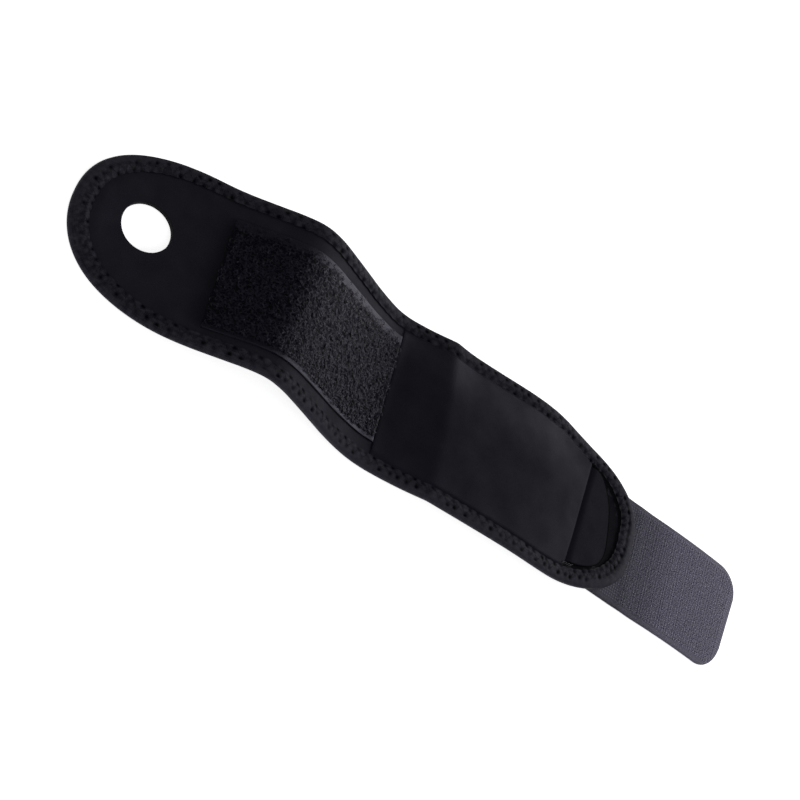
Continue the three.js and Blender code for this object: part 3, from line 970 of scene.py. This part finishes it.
# Knitted polyester tape: matt, with fine ribs along it, fuzzed a little, and painted paler along its fold as
# painted light.
TAPE_FUZZ = 2.2
tape_knit = nylon_tape("knitted_binding_tape", "1b1a20", "28272e", 0.8 * MM, 0.08, 0.06)
plain = feeding(tape_knit, "Base Color")
flat = add_node(tape_knit, "ShaderNodeUVMap", {}, uv_map="flat").outputs["UV"]
worn = add_node(
    tape_knit, "ShaderNodeTexNoise", {"Vector": flat, "Scale": 1 / (TAPE_FUZZ * MM), "Detail": 4}
).outputs["Fac"]
fuzz = add_node(tape_knit, "ShaderNodeMapRange", {"Value": worn, 1: 0.4, 2: 0.75}).outputs[0]
fuzzed = add_node(tape_knit, "ShaderNodeMix", {0: fuzz, 6: plain, 7: colour("35343b")}, data_type="RGBA")
set_surface(tape_knit, {"Base Color": fuzzed.outputs[2]})
paint_towards(tape_knit, "fold_painted_light", "34333a")
# Painted shade: in the needle dimples and along the seam groove the tape is painted darker and its gloss is
# dulled.
paint_towards(tape_knit, "needle_hole_shade", "070609")
holes = add_node(tape_knit, "ShaderNodeAttribute", {}, attribute_name="needle_hole_shade").outputs["Fac"]
dulled = add_node(tape_knit, "ShaderNodeMapRange", {"Value": holes, 1: 0, 2: 0.8, 3: 0.0275, 4: 0.006})
set_surface(tape_knit, {"Specular IOR Level": dulled.outputs[0]})
binding = make_piece("binding", bm, tape_knit)
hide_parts("edge_binding")

# The thread: bonded polyester that holds the tape on both faces. It lies in short bowed lengths that
# dive into the cloth at both ends.
THREAD, THREAD_TWIST = 0.34, 0.5


def sew(name, stitches, material):
    """A run of stitches as one piece. Each stitch is a list of places in the frame."""
    curve = bpy.data.curves.new(name, "CURVE")
    curve.dimensions = "3D"
    curve.bevel_depth = THREAD / 2 * MM
    curve.bevel_resolution = 1
    curve.use_fill_caps = True
    for stitch in stitches:
        spline = curve.splines.new("POLY")
        spline.points.add(len(stitch) - 1)
        for point, place in zip(spline.points, stitch):
            point.co = (*place, 1)
    drawn = bpy.data.objects.new(name, curve)
    mesh = bpy.data.meshes.new_from_object(drawn)
    bpy.data.objects.remove(drawn)
    mesh.materials.clear()
    mesh.materials.append(material)
    mesh.shade_smooth()
    piece = add_object(name, mesh)
    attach(piece, "root")
    return piece


# Bonded thread has a low gloss, with its twist as slanting bands.
thread_black = new_material("bonded_polyester_thread")
place = add_node(thread_black, "ShaderNodeTexCoord", {}).outputs["Object"]
slant = {"Vector": place, "Scale": WAVE_TURN / (THREAD_TWIST * MM)}
twist = add_node(thread_black, "ShaderNodeTexWave", slant, bands_direction="DIAGONAL").outputs["Fac"]
ply = add_node(
    thread_black, "ShaderNodeMix", {0: twist, 6: colour("121116"), 7: colour("1c1b21")}, data_type="RGBA"
)
set_surface(thread_black, {"Base Color": ply.outputs[2], "Specular IOR Level": 0.02, "Roughness": 0.55})

# How high a stitch lies over the tape, at shares of its length.
STITCH_RISE = [(0, -0.4), (0.2, -0.12), (0.5, -0.06), (0.8, -0.12), (1, -0.4)]
zigzag_stitches = []
for half_turn in range(2 * zigzags):
    for face in (1, -1):
        stitch = []
        for share, rise in STITCH_RISE:
            turn = (half_turn + share) / 2
            place, inward, width = edge_frames[round(turn / zigzags * EDGE_STEPS) % EDGE_STEPS]
            outer, inner = needle_rows(width)
            swing = abs((turn + 0.5) % 1 - 0.5) * 2
            depth = outer + swing * (inner - outer)
            height = tape_height(turn, depth, width) + rise
            if face > 0:
                height += rolled_up(turn, depth, width)
            stitch.append(lay(*(place + inward * depth), face * height))
        zigzag_stitches.append(stitch)
sew("binding_thread", zigzag_stitches, thread_black)


# Bar tacks: a few close stitches across each end of the pocket's mouth, grey at the lower end and black
# at the upper one, which keep it from tearing. Their ends stand up a little.
TACK_STITCHES, TACK_LENGTH, TACK_WIDTH, TACK_TURN = 8, 6.5, 1.3, 0.28
TACK_START, TACK_INSET, TACK_HEIGHT = -1.2, 0.5, 1.5
TACK_SLANT, TACK_SCATTER = 0.8, 0.3

# Grey thread has a soft, broad gloss, and stands out pale on the black.
thread_grey = new_material("grey_polyester_thread")
set_surface(thread_grey, {"Base Color": colour("3a393f"), "Roughness": 0.6})
for name, side, thread in (("lower_tack", -1, thread_grey), ("upper_tack", 1, thread_black)):
    tack_stitches = []
    tack_y = side * (half_width(TAPE_INNER_EDGE, MOUTH) - TACK_INSET)
    for number in range(TACK_STITCHES):
        chance = noise.cell_vector(Vector((number + 0.5, 3.5 + side, 0.5)))
        run = TACK_LENGTH * number / TACK_STITCHES
        s = MOUTH + MOUTH_ASKEW * tack_y + TACK_START + run
        y = tack_y - side * TACK_TURN * run
        stitch = []
        for share, rise in ((0, -0.3), (0.2, 0.4), (0.5, 0.7 * chance[2] + 0.3), (0.8, 0.4), (1, -0.3)):
            along = s + TACK_SLANT * (share + chance[0] - 1)
            across = y + TACK_WIDTH * (share - 0.5 + TACK_SCATTER * chance[1])
            stitch.append(lay(along, across, TACK_HEIGHT + rise))
        tack_stitches.append(stitch)
    sew(name, tack_stitches, thread)


# Studio: a lit white table, a soft box low beyond the strap that draws out the gloss, a weaker one in
# front, and a dim even surround. The camera looks down from beyond the thumb end, turned on its side.
TABLE_HALF, TABLE_DROP, TABLE_GLOW = 3, 0.0003, 0.75
SURROUND = 0.12

bm = bmesh.new()
table_place = Matrix.Translation((0, 0, -TABLE_DROP))
bmesh.ops.create_grid(bm, x_segments=1, y_segments=1, size=TABLE_HALF, matrix=table_place)
table_mesh = bpy.data.meshes.new("table")
bm.to_mesh(table_mesh)
bm.free()

# The table is matt, and lit from within, so that it is plain white with only a soft shadow.
table_white = new_material("matt_white_table")
set_surface(table_white, {
    "Base Color": colour("fafafa"),
    "Specular IOR Level": 0.1,
    "Roughness": 0.9,
    "Emission Color": colour("ffffff"),
    "Emission Strength": TABLE_GLOW,
})
table_mesh.materials.append(table_white)
add_object("table", table_mesh)

surround = bpy.data.worlds.new("studio")
surround.use_nodes = True
set_sockets(surround.node_tree.nodes["Background"], {"Color": colour("ffffff"), "Strength": SURROUND})
bpy.context.scene.world = surround

# Each soft box: the way to it from the object, its distance and size in metres, and its power.
SOFT_BOXES = {
    "front_soft_box": (Vector((-0.4, -0.6, 0.69)), 1.3, 1.0, 6),
    "back_soft_box": (Vector((0.78, 0.42, 0.46)), 1.2, 0.9, 10.8),
}
for name, (towards, distance, size, power) in SOFT_BOXES.items():
    lamp = bpy.data.lights.new(name, "AREA")
    lamp.size = size
    lamp.energy = power
    light = add_object(name, lamp)
    light.location = towards.normalized() * distance
    light.rotation_mode = "QUATERNION"
    light.rotation_quaternion = towards.to_track_quat("Z", "Y")

VIEW_TARGET = Vector((-0.0259, -0.0032, 0.008))
VIEW_DISTANCE, VIEW_LENS = 0.746, 84.1
VIEW_AZIMUTH, VIEW_ELEVATION, VIEW_ROLL = (math.radians(angle) for angle in (-44.8, 47.3, 69.1))
back = Vector((
    math.sin(VIEW_AZIMUTH) * math.cos(VIEW_ELEVATION),
    -math.cos(VIEW_AZIMUTH) * math.cos(VIEW_ELEVATION),
    math.sin(VIEW_ELEVATION),
))
view = bpy.data.cameras.new("view")
view.lens = VIEW_LENS
view.sensor_width = 36
camera = add_object("camera", view)
camera.rotation_mode = "QUATERNION"
camera.location = VIEW_TARGET + back * VIEW_DISTANCE
level = (-back).to_track_quat("-Z", "Y")
camera.rotation_quaternion = level @ Matrix.Rotation(VIEW_ROLL, 4, "Z").to_quaternion()
bpy.context.scene.camera = camera
bpy.context.scene.view_settings.view_transform = "Standard"
